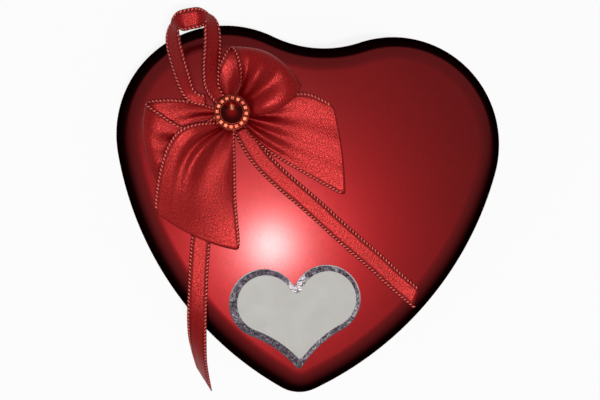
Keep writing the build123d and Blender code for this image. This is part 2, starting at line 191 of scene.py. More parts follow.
# How far to each side the slope across a row is read, where half its width is 1.
SLOPE_REACH = 0.1
# Points of a smoothed ribbon within this share of its width from an edge are on that edge, and they are
# one point where their places along it are the same to this many digits.
EDGE_TOLERANCE_SHARE = 1e-4
PLACE_DIGITS = 4
# Edge stitches: their slant, and how far in their middles lie as a share of half their length.
STITCH_SLANT = 0.8
STITCH_INSET_SHARE = 0.55
# Narrow ribbon: steps between two points of its route, and the power by which its cut's slant grows.
ROUTE_STEPS = 10
CUT_POWER = 6

# Lid lacquer, in millimetres below the lid's top: painted shade darkens its edge softly towards the tip
# and crisply towards the lobes, and fades again on its skirt. The lobes' side begins between two places
# along +Y.
SOFT_SHADE_DROP = (0.0, 1.05)
CRISP_SHADE_DROP = (0.55, 0.75)
SKIRT_SHADE_FADE = (5.0, 9.0)
LOBES_SIDE = (12 * MM, 40 * MM)

# Grains per metre along each axis: the tinplate's rolling marks and the fibres of the label's face.
ROLLED_GRAIN = (60.0, 2600.0, 2600.0)
FIBRE_GRAIN = (900.0, 2200.0, 900.0)

# Satin weave on the flat ribbon: pitches and the groove's edges in millimetres, grains per millimetre.
FLOAT_PITCH = 0.26
FLOAT_SLANT = 0.62
THREAD_PITCH = 0.085
GROOVE_EDGES = (0.95, 1.35)
STREAK_GRAIN = (1.7, 0.12, 1.0)
FLECK_GRAIN = (2.0, 2.5, 1.0)
TILT_GRAIN = (1.75, 2.2, 1.0)

# Foil: the painted highlight at the notch, in millimetres to each side and in shares of the label's
# length, and how far below the label's top the painted highlight on its folded edge is brightest.
NOTCH_SIDES = (1.0, 4.5)
NOTCH_RISE_SHARES = (0.45, 0.70)
LINE_TOP_DROP = 4 * MM

# Stone: the reddening below its tip, and the painted flash and painted glow beside its middle, in
# millimetres.
TIP_START = 1.7
TIP_END = 0.1
FLASH_SIDES = (0.15, 0.75)
FLASH_START = (0.2, 0.9)
FLASH_END = (1.5, 2.3)
GLOW_RISE = (0.0, 1.2)

# Floor: how much it glows, and how its flecks are shaded.
FLOOR_GLOW = 0.86
FLECK_SHADE = 0.985

# Rays that show the background: to the camera, in mirrors and through glass.
SEEN_RAYS = ("Is Camera Ray", "Is Glossy Ray", "Is Transmission Ray")


class Value:
    """A socket in a node tree, whose arithmetic adds Math nodes."""

    def __init__(self, nodes, socket):
        self.nodes = nodes
        self.socket = socket

    def __add__(self, other):
        return self.nodes.math("ADD", self, other)

    __radd__ = __add__

    def __mul__(self, other):
        return self.nodes.math("MULTIPLY", self, other)

    __rmul__ = __mul__

    def __sub__(self, other):
        return self.nodes.math("SUBTRACT", self, other)

    def __rsub__(self, other):
        return self.nodes.math("SUBTRACT", other, self)

    def __truediv__(self, other):
        return self.nodes.math("DIVIDE", self, other)

    def __rtruediv__(self, other):
        return self.nodes.math("DIVIDE", other, self)

    def __abs__(self):
        return self.nodes.math("ABSOLUTE", self)

    def smaller(self, other):
        return self.nodes.math("MINIMUM", self, other)

    def larger(self, other):
        return self.nodes.math("MAXIMUM", self, other)

    def step(self, low, high):
        """0 below low, 1 above high, and a smooth rise between them."""
        values = {"Value": self, "From Min": low, "From Max": high}
        return self.nodes.node("MapRange", {"interpolation_type": "SMOOTHSTEP"}, values)

    def saw(self, period):
        """A rise from 0 to 1 over one period and a fall over the next."""
        return self.nodes.math("PINGPONG", self / period, 1.0)


class Nodes:
    """Adds nodes to a node tree."""

    def __init__(self, tree):
        self.tree = tree

    def node(self, kind, settings, values, output=0):
        """Adds a node, its settings first and then its sockets' values or links, and gives an output."""
        made = self.tree.nodes.new("ShaderNode" + kind)
        for name, setting in settings.items():
            setattr(made, name, setting)
        for name, value in values.items():
            self.feed(made.inputs[name], value)
        return Value(self, made.outputs[output])

    def feed(self, socket, value):
        """Links a value to a socket, or sets the socket to a number, a vector or a colour."""
        if isinstance(value, Value):
            self.tree.links.new(value.socket, socket)
        elif socket.type == "RGBA":
            socket.default_value = (*value[:3], 1.0)
        else:
            socket.default_value = value

    def math(self, operation, *values):
        return self.node("Math", {"operation": operation}, dict(enumerate(values)))

    def seen_rays(self):
        """1 for the rays that show the background, and 0 for those that light the object."""
        camera, mirror, glass = (self.node("LightPath", {}, {}, name) for name in SEEN_RAYS)
        return camera.larger(mirror).larger(glass)


class Finish(Nodes):
    """A procedural material under the name of its finish."""

    def __init__(self, name):
        self.material = bpy.data.materials.new(name)
        self.material.use_nodes = True
        super().__init__(self.material.node_tree)
        self.shader = self.tree.nodes["Principled BSDF"]

    def surface(self, **values):
        """Sets the shader's sockets, with an underscore for each space in a name."""
        for name, value in values.items():
            self.feed(self.shader.inputs[name.replace("_", " ")], value)
        return self.material

    def place(self, scale=(1.0, 1.0, 1.0)):
        """Object coordinates in metres, scaled."""
        spot = self.node("TexCoord", {}, {}, "Object")
        return self.node("Mapping", {}, {"Vector": spot, "Scale": scale})

    def ribbon_place(self, scale=(1.0, 1.0, 1.0)):
        """Places on the flat ribbon, in millimetres across and along it, scaled."""
        spot = self.node("UVMap", {"uv_map": UV_NAME}, {})
        return self.node("Mapping", {}, {"Vector": spot, "Scale": scale})

    def split(self, vector, axis):
        return self.node("SeparateXYZ", {}, {"Vector": vector}, axis)

    def grain(self, vector, scale=1.0, detail=2.0, roughness=0.5):
        values = {"Vector": vector, "Scale": scale, "Detail": detail, "Roughness": roughness}
        return self.node("TexNoise", {}, values)

    def cells(self, vector, scale, feature, output):
        return self.node("TexVoronoi", {"feature": feature}, {"Vector": vector, "Scale": scale}, output)

    def blend(self, share, first, second):
        """A mix of two colours, which are the Mix node's sockets 6 and 7 and its output 2."""
        settings = {"data_type": "RGBA", "clamp_factor": True}
        return self.node("Mix", settings, {0: share, 6: first, 7: second}, 2)

    def relief(self, height, strength, depth):
        return self.node("Bump", {}, {"Height": height, "Strength": strength, "Distance": depth})


def red_lacquer(name, colours, on_lid):
    """Satin metallic lacquer on tinplate, with painted shade over the lid's pillowed edge."""
    made = Finish(name)
    spot = made.place()
    flakes = made.cells(spot, scale=5200.0, feature="F1", output="Color")
    flake = made.split(flakes, "X")
    cloud = made.grain(spot, scale=26.0, detail=3.0)
    share = 0.5 + (cloud - 0.5) * 0.5 + (flake - 0.5) * 0.22
    colour = made.blend(share, colours.lacquer_deep, colours.lacquer_bright)
    glaze = made.split(flakes, "Y") * 0.04 + 0.13
    if on_lid:
        # Painted shade: the colour goes near black over the pillowed edge, softly towards the tip and
        # crisply towards the lobes, less on the skirt, and the coat is taken away there.
        drop = (lid_top - made.split(spot, "Z")) / MM
        soft = drop.step(*SOFT_SHADE_DROP)
        crisp = drop.step(*CRISP_SHADE_DROP)
        edge = soft + (crisp - soft) * made.split(spot, "Y").step(*LOBES_SIDE)
        dark = edge * (1.0 - drop.step(*SKIRT_SHADE_FADE) * 0.72)
        colour = made.blend(dark, colour, colours.lacquer_painted_shade)
        glaze = glaze * (1.0 - edge)
    peel = made.grain(spot, scale=620.0)
    return made.surface(
        Base_Color=colour,
        Metallic=1.0,
        Roughness=0.29 + peel * 0.06 + flake * 0.05,
        Normal=made.relief(peel + flake * 0.15, strength=0.045, depth=0.12 * MM),
        Coat_Weight=glaze,
        Coat_Roughness=0.18,
        Specular_Tint=(0.40, 0.06, 0.06),
    )


def bare_tinplate(colours):
    """Clear-lacquered tinplate with the grain of the rolling mill."""
    made = Finish("bare_tinplate")
    rolled = made.grain(made.place(ROLLED_GRAIN), detail=4.0)
    stain = made.grain(made.place(), scale=45.0, detail=4.0, roughness=0.6)
    return made.surface(
        Base_Color=made.blend(rolled * 0.5 + stain * 0.5, colours.tin_dull, colours.tin_bright),
        Metallic=0.95,
        Roughness=0.24 + rolled * 0.16 + stain * 0.08,
        Normal=made.relief(rolled, strength=0.08, depth=0.05 * MM),
    )


def satin(name, width, colours):
    """Woven satin: slanted floats, flecks that glint with a painted glint, streaks along it and a groove
    with painted shade by each edge.
    """
    made = Finish(name)
    spot = made.ribbon_place()
    across = made.split(spot, "X")
    along = made.split(spot, "Y")
    floats = (across + along * FLOAT_SLANT).saw(FLOAT_PITCH)
    threads = across.saw(THREAD_PITCH)
    streak = made.grain(made.ribbon_place(STREAK_GRAIN), detail=4.0, roughness=0.65)
    glint = made.grain(made.ribbon_place(FLECK_GRAIN)).step(0.44, 0.60)
    tilt = made.grain(made.ribbon_place(TILT_GRAIN))
    weave = floats * 0.25 + threads * 0.10 + tilt * 1.1
    groove = 1.0 - across.smaller(width - across).step(*GROOVE_EDGES)
    # The glint flecks also lighten the base colour: a painted glint on top of their real gloss.
    share = 0.10 + floats * 0.40 + (streak - 0.5) * 0.7 + glint * 0.45
    colour = made.blend(share, colours.satin_deep, colours.satin_bright)
    return made.surface(
        # The groove beside each edge is painted darker: painted shade in the recess.
        Base_Color=made.blend(groove * 0.75, colour, colours.satin_groove_shade),
        Metallic=0.3,
        Roughness=0.32 - glint * 0.07 + streak * 0.06 + groove * 0.2,
        Normal=made.relief(weave - groove * 0.5, strength=0.5, depth=0.11 * MM),
        Specular_IOR_Level=0.5,
        Specular_Tint=(1.0, 0.25, 0.22),
    )


def edge_thread(colours):
    """The thicker thread of the ribbon's stitched edges."""
    made = Finish("edge_thread")
    twist = made.grain(made.place(), scale=5200.0, detail=3.0)
    return made.surface(
        # The twist mixes the lit and the shaded copy of the thread's colour: a painted sheen.
        Base_Color=made.blend(twist.step(0.25, 0.75), colours.thread_deep, colours.thread_bright),
        Metallic=0.32,
        Roughness=0.34 + twist * 0.2,
        Normal=made.relief(twist, strength=0.25, depth=0.06 * MM),
        Specular_IOR_Level=0.9,
        Specular_Tint=(1.0, 0.42, 0.37),
    )


def crinkled_foil(colours):
    """Silver foil, creased where it was pressed over the label's rim, with painted reflections brightest
    at the notch.
    """
    made = Finish("label_foil")
    spot = made.place()
    creases = made.cells(spot, scale=700.0, feature="DISTANCE_TO_EDGE", output="Distance")
    ripple = made.grain(spot, scale=900.0, detail=4.0, roughness=0.6)
    reflection_blotches = made.grain(spot, scale=75.0).step(0.45, 0.70)
    across = made.split(spot, "X")
    upward = made.split(spot, "Y").step(foil_low.y, foil_high.y)
    aside = abs(across - foil_centre.x) / MM
    notch = (1.0 - aside.step(*NOTCH_SIDES)) * upward.step(*NOTCH_RISE_SHARES)
    rightward = across.step(foil_low.x, foil_high.x)
    # Painted reflection: dark and bright copies of the silver, lighter in random blotches, towards the
    # right, with the ripples and at the notch.
    painted_reflection = reflection_blotches * 0.25 + rightward * 0.15 + (ripple - 0.5) * 1.2 + notch * 0.7 - 0.16
    crinkle = creases.step(0.0, 0.35) * 0.6 + ripple * 0.8
    return made.surface(
        Base_Color=made.blend(painted_reflection, colours.foil_reflection_dark, colours.foil_reflection_bright),
        Metallic=1.0,
        Roughness=0.28 + ripple * 0.22,
        Normal=made.relief(crinkle, strength=0.45, depth=0.25 * MM),
    )


def foil_line(colours):
    """The folded edge of the foil, with a patchy painted highlight on its upper side and painted shade
    elsewhere.
    """
    made = Finish("label_line")
    spot = made.place()
    line_patches = made.grain(spot, scale=300.0, detail=3.0, roughness=0.6)
    # Painted highlight on the upper side, broken in patches; painted shade elsewhere.
    upper = made.split(spot, "Y").step(foil_centre.y, foil_high.y - LINE_TOP_DROP)
    return made.surface(
        Base_Color=made.blend(line_patches.step(0.20, 0.55) * upper, colours.line_painted_shade, colours.line_painted_highlight),
        Metallic=1.0,
        Roughness=0.55 + line_patches * 0.15,
    )


def pearl_film(colours):
    """The plain matte face of the label."""
    made = Finish("label_face")
    fibre = made.grain(made.place(FIBRE_GRAIN), detail=3.0)
    mottle = made.grain(made.place(), scale=160.0, detail=4.0, roughness=0.6)
    return made.surface(
        Base_Color=made.blend(fibre * 0.35 + mottle * 0.65, colours.film_shade, colours.film_light),
        Metallic=0.12,
        Roughness=0.46 + mottle * 0.2,
        Normal=made.relief(fibre * 0.4 + mottle, strength=0.10, depth=0.05 * MM),
    )


def hot_glue(colours):
    """Set hot-melt glue, milky and slightly pitted."""
    made = Finish("hot_glue")
    pits = made.grain(made.place(), scale=900.0, detail=3.0)
    return made.surface(
        Base_Color=made.blend(pits, colours.glue_shade, colours.glue_light),
        Roughness=0.28 + pits * 0.25,
        Normal=made.relief(pits, strength=0.3, depth=0.2 * MM),
    )


def brooch_plating(name, dull, bright, wear_scale):
    """Copper-gold plating that dulls in patches."""
    made = Finish(name)
    spot = made.place()
    wear = made.grain(spot, scale=wear_scale, detail=4.0, roughness=0.6)
    brush = made.grain(spot, scale=5200.0)
    return made.surface(
        Base_Color=made.blend(wear.step(0.3, 0.7), dull, bright),
        Metallic=1.0,
        Roughness=0.18 + wear * 0.16 + brush * 0.08,
        Normal=made.relief(brush, strength=0.12, depth=0.04 * MM),
    )


def polished_stone(colours):
    """The dark red centre stone, redder towards its tip, with a painted red glow on one side and a painted
    flash there.
    """
    made = Finish("brooch_stone")
    spot = made.place()
    rise = made.split(spot, "Z").step(stone_high.z - TIP_START * MM, stone_high.z - TIP_END * MM)
    swirl = made.grain(spot, scale=420.0, detail=3.0)
    aside = abs(made.split(spot, "X") - bow_centre.x) / MM
    upward = (made.split(spot, "Y") - bow_centre.y) / MM
    # Painted flash and painted red glow on the side towards +Y.
    flash = (1.0 - aside.step(*FLASH_SIDES)) * upward.step(*FLASH_START) * (1.0 - upward.step(*FLASH_END))
    glow = (upward - aside * 0.7).step(*GLOW_RISE)
    share = rise * 0.5 + glow * 0.7 + swirl * 0.15
    colour = made.blend(share, colours.stone_dark, colours.stone_red)
    return made.surface(
        Base_Color=made.blend(flash, colour, colours.stone_painted_flash),
        Metallic=0.6,
        Roughness=0.07 + swirl * 0.05,
        Specular_IOR_Level=0.03,
    )


def floor_paper(colour):
    """The pale floor, which glows where the background is seen and keeps its shadows."""
    made = Finish("floor_paper")
    fleck = made.grain(made.place(), scale=240.0, detail=3.0)
    shaded = [channel * FLECK_SHADE for channel in colour]
    made.surface(Base_Color=made.blend(fleck, shaded, colour), Roughness=0.9, Specular_IOR_Level=0.0)
    paper = Value(made, made.shader.outputs["BSDF"])
    glow = made.node("Emission", {}, {"Color": (1.0, 1.0, 1.0), "Strength": 1.0})
    mixed = made.node("MixShader", {}, {0: made.seen_rays() * FLOOR_GLOW, 1: paper, 2: glow})
    made.feed(made.tree.nodes["Material Output"].inputs["Surface"], mixed)
    return made.material


def finish_of(name):
    found = bpy.data.materials.get(name)
    if found is None:
        raise RuntimeError(f"the finish {name} isn't made yet")
    return found


def dress_node(node, material):
    """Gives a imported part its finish."""
    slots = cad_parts[node].data.materials
    slots.clear()
    slots.append(material)


def new_piece(name, shape, materials, body=None, replaced=None, sharp_angle=None):
    """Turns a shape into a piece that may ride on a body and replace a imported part, and frees it."""
    mesh = bpy.data.meshes.new(name)
    shape.to_mesh(mesh)
    shape.free()
    for material in materials:
        mesh.materials.append(material)
    mesh.shade_smooth()
    if sharp_angle:
        mesh.set_sharp_from_angle(angle=math.radians(sharp_angle))
    piece = bpy.data.objects.new(name, mesh)
    bpy.context.scene.collection.objects.link(piece)
    if body:
        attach(piece, body)
    if replaced:
        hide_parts(replaced)
    return piece


def node_copy(node):
    """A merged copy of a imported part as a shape."""
    shape = bmesh.new()
    shape.from_mesh(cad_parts[node].data)
    bmesh.ops.remove_doubles(shape, verts=shape.verts, dist=MERGE_DISTANCE)
    return shape


def spun_shape(profile_shares, low, high, steps, cuts=0):
    """A closed shape round the bow's middle, spun from shares of a box's half width and height."""
    shape = bmesh.new()
    radius = (high.x - low.x) / 2
    height = high.z - low.z
    verts = [
        shape.verts.new((bow_centre.x + out * radius, bow_centre.y, low.z + up * height))
        for out, up in profile_shares
    ]
    edges = [shape.edges.new(pair) for pair in zip(verts, verts[1:])]
    if cuts:
        bmesh.ops.subdivide_edges(shape, edges=edges, cuts=cuts)
    bmesh.ops.spin(
        shape,
        geom=shape.verts[:] + shape.edges[:],
        cent=bow_centre,
        axis=UP,
        angle=math.tau,
        steps=steps,
        use_merge=True,
    )
    bmesh.ops.remove_doubles(shape, verts=shape.verts, dist=MERGE_DISTANCE)
    bmesh.ops.recalc_face_normals(shape, faces=shape.faces)
    return shape


def of_kind(made, kind):
    """The points, edges or faces among what an operator made."""
    return [item for item in made["geom"] if isinstance(item, kind)]


def open_edges(shape):
    return [edge for edge in shape.edges if edge.is_boundary]


def from_bow(point):
    return bow_centre + Vector(point) * MM


def line_length(line):
    return sum((after - before).length for before, after in zip(line, line[1:]))


def value_along(values, share):
    """A value read off a list of evenly spaced values, with a straight run between neighbours."""
    place = min(max(share, 0.0), 1.0) * (len(values) - 1)
    number = min(int(place), len(values) - 2)
    return values[number] + (place - number) * (values[number + 1] - values[number])


def ribbon_grid(columns, rows, width, length):
    """A flat unit grid that carries its places on the ribbon in millimetres, and its points by place."""
    shape = bmesh.new()
    flat = shape.loops.layers.uv.new(UV_NAME)
    bmesh.ops.create_grid(shape, x_segments=columns - 1, y_segments=rows - 1, size=0.5)
    points = {}
    for vert in shape.verts:
        across, along = vert.co.x + 0.5, vert.co.y + 0.5
        points[round(across * (columns - 1)), round(along * (rows - 1))] = vert
        for loop in vert.link_loops:
            loop[flat].uv = (across * width, along * length)
    return shape, points


def across_row(row, place):
    """A point of a ribbon's row, from its left edge at -1 through its middle to its right edge at 1."""
    left, middle, right = (Vector(point) for point in row[:3])
    left_part = left * (place * (place - 1) / 2)
    right_part = right * (place * (place + 1) / 2)
    return left_part + middle * (1 - place * place) + right_part


def fold_ribbon(rows, fold_shares, width, tuck):
    """The coarse form of a wide ribbon, its rows raised and sunk by the folds across it, and its length.

    The tuck is how many columns of its left and right edges are turned under.
    """
    lines = [[Vector(row[line]) for row in rows] for line in range(3)]
    length = sum(line_length(line) for line in lines) / len(lines)
    shape, points = ribbon_grid(len(fold_shares), len(rows), width, length)
    first = tuck[0]
    last = len(fold_shares) - 1 - tuck[1]
    for number, row in enumerate(rows):
        before = rows[max(number - 1, 0)]
        after = rows[min(number + 1, len(rows) - 1)]
        for column, fold_share in enumerate(fold_shares):
            bend = min(max(column, first), last)
            under = abs(column - bend)
            place = 2 * (2 * bend - column - first) / (last - first) - 1
            along = across_row(after, place) - across_row(before, place)
            ahead = across_row(row, min(place + SLOPE_REACH, 1))
            across = ahead - across_row(row, max(place - SLOPE_REACH, -1))
            height = fold_share * row[3] - under * TUCK_DROP
            lifted = across_row(row, place) + across.cross(along).normalized() * height
            points[column, number].co = from_bow(lifted)
    return shape, length


def add_thickness(piece, thickness, levels):
    """Smooths a ribbon's coarse form and gives it the thickness of its cloth."""
    if levels:
        smooth = piece.modifiers.new("smooth", "SUBSURF")
        smooth.levels = levels
        smooth.render_levels = levels
    cloth = piece.modifiers.new("cloth", "SOLIDIFY")
    cloth.thickness = thickness
    cloth.offset = 0.0


def smoothed_shape(piece):
    """A ribbon's smoothed form without its thickness."""
    for modifier in piece.modifiers:
        modifier.show_viewport = modifier.type == "SUBSURF"
    graph = bpy.context.evaluated_depsgraph_get()
    mesh = bpy.data.meshes.new_from_object(piece.evaluated_get(graph))
    for modifier in piece.modifiers:
        modifier.show_viewport = True
    shape = bmesh.new()
    shape.from_mesh(mesh)
    bpy.data.meshes.remove(mesh)
    return shape


def edge_lines(piece, width):
    """The two long edges of a smoothed ribbon, each a list of points with the way into the cloth."""
    shape = smoothed_shape(piece)
    flat = shape.loops.layers.uv[UV_NAME]
    sides = ({}, {})
    for face in shape.faces:
        for loop in face.loops:
            across, along = loop[flat].uv
            for side, edge in zip(sides, (0.0, width)):
                if abs(across - edge) < EDGE_TOLERANCE_SHARE * width:
                    place = round(along, PLACE_DIGITS)
                    inner = face.calc_center_median() - loop.vert.co
                    spot, total = side.get(place, (loop.vert.co.copy(), Vector()))
                    side[place] = (spot, total + inner)
    shape.free()
    return [[side[along] for along in sorted(side)] for side in sides]


def stitch_edges(piece, width, material, sizes):
    """Slanted stitches along both edges of a ribbon, as one piece."""
    shape = bmesh.new()
    pitch = sizes.stitch_pitch
    half = Vector((sizes.stitch_length / 2, sizes.stitch_width / 2, sizes.stitch_thickness / 2))
    for line in edge_lines(piece, width):
        travelled = pitch / 2
        for (start, inner), (stop, _) in zip(line, line[1:]):
            run = (stop - start).length
            while travelled < run:
                tangent = (stop - start).normalized()
                inward = (inner - tangent * inner.dot(tangent)).normalized()
                slant = (tangent + inward * STITCH_SLANT).normalized()
                normal = tangent.cross(inward).normalized()
                centre = start + tangent * travelled + inward * half.x * STITCH_INSET_SHARE
                turned = Matrix((slant, normal.cross(slant), normal)).transposed().to_4x4()
                place = Matrix.Translation(centre) @ turned @ Matrix.Diagonal((*half, 1.0))
                bmesh.ops.create_icosphere(shape, subdivisions=1, radius=1.0, matrix=place)
                travelled += pitch
            travelled -= run
    bmesh.ops.recalc_face_normals(shape, faces=shape.faces)
    return new_piece(piece.name + "_stitches", shape, [material])


def route_line(name, route):
    """Points along the smooth line of a narrow ribbon, read from a curve that follows its route."""
    curve = bpy.data.curves.new(name + "_route", "CURVE")
    curve.dimensions = "3D"
    curve.resolution_u = ROUTE_STEPS
    spline = curve.splines.new("NURBS")
    spline.points.add(len(route) - 1)
    for point, spot in zip(spline.points, route):
        point.co = (*from_bow(spot), 1.0)
    spline.order_u = 3
    spline.use_endpoint_u = True
    holder = bpy.data.objects.new(curve.name, curve)
    bpy.context.scene.collection.objects.link(holder)
    graph = bpy.context.evaluated_depsgraph_get()
    mesh = bpy.data.meshes.new_from_object(holder.evaluated_get(graph))
    line = [vert.co.copy() for vert in mesh.vertices]
    bpy.data.objects.remove(holder)
    bpy.data.curves.remove(curve)
    bpy.data.meshes.remove(mesh)
    return line


def flat_band(line, leans, width_shares, width, cut, columns):
    """A flat band of narrow ribbon along a line, with its leans and its slanted cut, and its length."""
    length = line_length(line)
    shape, points = ribbon_grid(columns, len(line), width / MM, length / MM)
    for number, spot in enumerate(line):
        share = number / (len(line) - 1)
        before = line[max(number - 1, 0)]
        after = line[min(number + 1, len(line) - 1)]
        along = (after - before).normalized()
        lean = math.radians(value_along(leans, share))
        level = UP.cross(along).normalized()
        across = level * math.cos(lean) + along.cross(level) * math.sin(lean)
        reach = width * value_along(width_shares, share)
        for column in range(columns):
            place = column / (columns - 1) - 0.5
            slid = along * cut * MM * place * share**CUT_POWER
            points[column, number].co = spot + across * reach * place + slid
    return shape, length


def length_prop(name, description, default):
    return FloatProperty(name=name, description=description, default=default, unit="LENGTH")


def colour_prop(name, description, default):
    return FloatVectorProperty(
        name=name, description=description, default=default, subtype="COLOR", size=3, min=0.0, max=1.0
    )


class HeartTinSizes(bpy.types.PropertyGroup):
    """Sizes that a user would change."""

    ribbon_width: length_prop("Wide ribbon", "Width of the bow's ribbon", 25.0 * MM)
    ribbon_thickness: length_prop("Cloth", "Thickness of the satin", 0.3 * MM)
    band_width: length_prop("Narrow ribbon", "Width of the streamers and the hanging loop", 5.5 * MM)
    stitch_pitch: length_prop("Stitch pitch", "Distance between edge stitches", 1.05 * MM)
    stitch_length: length_prop("Stitch length", "Length of an edge stitch", 1.35 * MM)
    stitch_width: length_prop("Stitch width", "Width of an edge stitch", 0.60 * MM)
    stitch_thickness: length_prop("Stitch thickness", "Thickness of an edge stitch", 0.56 * MM)
    crinkle: length_prop("Crinkle", "Depth of the creases in the foil", 0.22 * MM)
    smoothing: IntProperty(
        name="Smoothing", description="Subdivision levels of the wide ribbons", default=3, min=1, max=4
    )


class HeartTinColours(bpy.types.PropertyGroup):
    """Colours that a user would change."""

    lacquer_deep: colour_prop("Lacquer deep", "Darker red of the lid and base", (0.066, 0.0013, 0.0017))
    lacquer_bright: colour_prop("Lacquer bright", "Brighter red of lid and base", (0.104, 0.0022, 0.0030))
    # Painted shade over the lid's pillowed edge.
    lacquer_painted_shade: colour_prop("Lacquer edge", "The lid's pillowed edge", (0.0035, 0.0004, 0.0005))
    tin_dull: colour_prop("Tin dull", "Dull parts of the tinplate", (0.44, 0.42, 0.39))
    tin_bright: colour_prop("Tin bright", "Bright parts of the tinplate", (0.66, 0.65, 0.62))
    satin_deep: colour_prop("Satin deep", "Ground of the satin", (0.09, 0.0006, 0.0012))
    # Also the painted glint of the satin's flecks.
    satin_bright: colour_prop("Satin bright", "Floats of the satin", (0.28, 0.004, 0.006))
    # Painted shade in the groove beside the stitched edges.
    satin_groove_shade: colour_prop("Satin groove", "Groove beside the stitched edges", (0.07, 0.0006, 0.001))
    thread_deep: colour_prop("Thread deep", "Shaded edge thread", (0.33, 0.018, 0.017))
    thread_bright: colour_prop("Thread bright", "Lit edge thread", (0.88, 0.18, 0.15))
    # Painted reflection: dark and bright copies of the silver foil.
    foil_reflection_dark: colour_prop("Foil dark", "Tarnished parts of the foil", (0.030, 0.025, 0.031))
    foil_reflection_bright: colour_prop("Foil bright", "Bright parts of the foil", (0.26, 0.24, 0.25))
    # Painted shade and painted highlight of the foil's folded edge.
    line_painted_shade: colour_prop("Line worn", "Worn parts of the foil's edge", (0.05, 0.045, 0.048))
    line_painted_highlight: colour_prop("Line bright", "Bright parts of the foil's edge", (0.26, 0.245, 0.25))
    film_shade: colour_prop("Film shade", "Shaded parts of the label's face", (0.35, 0.338, 0.316))
    film_light: colour_prop("Film light", "Light parts of the label's face", (0.405, 0.391, 0.366))
    glue_shade: colour_prop("Glue shade", "Shaded parts of the glue", (0.60, 0.56, 0.46))
    glue_light: colour_prop("Glue light", "Light parts of the glue", (0.78, 0.75, 0.66))
    plating_dull: colour_prop("Plating dull", "Dull parts of the brooch's cup", (0.018, 0.002, 0.0015))
    plating_bright: colour_prop("Plating bright", "Bright parts of the cup", (0.085, 0.010, 0.006))
    bead_dull: colour_prop("Bead dull", "Dull parts of the beads", (0.13, 0.012, 0.009))
    bead_bright: colour_prop("Bead bright", "Bright parts of the beads", (0.44, 0.11, 0.06))
    stone_dark: colour_prop("Stone dark", "Foot of the stone", (0.006, 0.0004, 0.0006))
    stone_red: colour_prop("Stone red", "Tip of the stone", (0.34, 0.006, 0.006))
    # Painted flash in the stone.
    stone_painted_flash: colour_prop("Stone flash", "Flash in the stone", (1.0, 0.40, 0.22))
    floor: colour_prop("Floor", "The floor under the tin", (0.94, 0.94, 0.94))


class HeartTinSettings(bpy.types.PropertyGroup):
    """All settings of the tin."""

    sizes: PointerProperty(type=HeartTinSizes)
    colours: PointerProperty(type=HeartTinColours)


class HEARTTIN_OT_finishes(bpy.types.Operator):
    """Make the finishes that several pieces share"""

    bl_idname = "heart_tin.finishes"
    bl_label = "Finishes"

    def execute(self, context):
        sizes = context.scene.heart_tin.sizes
        colours = context.scene.heart_tin.colours
        bare_tinplate(colours)
        satin("satin_wide", sizes.ribbon_width / MM, colours)
        satin("satin_narrow", sizes.band_width / MM, colours)
        edge_thread(colours)
        return {"FINISHED"}


class HEARTTIN_OT_tin(bpy.types.Operator):
    """Lacquer the lid and the side band outside and leave them bare inside"""

    bl_idname = "heart_tin.tin"
    bl_label = "Lid and base"

    HEM_HEIGHT = 1.9 * MM
    # A face slopes up or down where its normal's height is past this.
    SLOPE_NORMAL = 0.3
    SHARP_ANGLE = 34

    def execute(self, context):
        colours = context.scene.heart_tin.colours
        hem_top = lid_low.z + self.HEM_HEIGHT
        self.dress("lid_shell", "lid", red_lacquer("lid_lacquer", colours, on_lid=True), hem_top)
        self.dress("base_wall", "base", red_lacquer("base_lacquer", colours, on_lid=False), wall_low.z)
        dress_node("base_floor", finish_of("bare_tinplate"))
        return {"FINISHED"}

    def dress(self, node, body, lacquer, low):
        """Lacquers a part, but leaves it bare where it looks inwards or down above a height."""
        shape = node_copy(node)
        for face in shape.faces:
            middle = face.calc_center_median()
            inwards = middle.xy.dot(face.normal.xy) < 0 and face.normal.z < self.SLOPE_NORMAL
            down = face.normal.z < -self.SLOPE_NORMAL
            face.material_index = int(middle.z > low and (inwards or down))
        finishes = [lacquer, finish_of("bare_tinplate")]
        new_piece(node + "_lacquered", shape, finishes, body, node, self.SHARP_ANGLE)


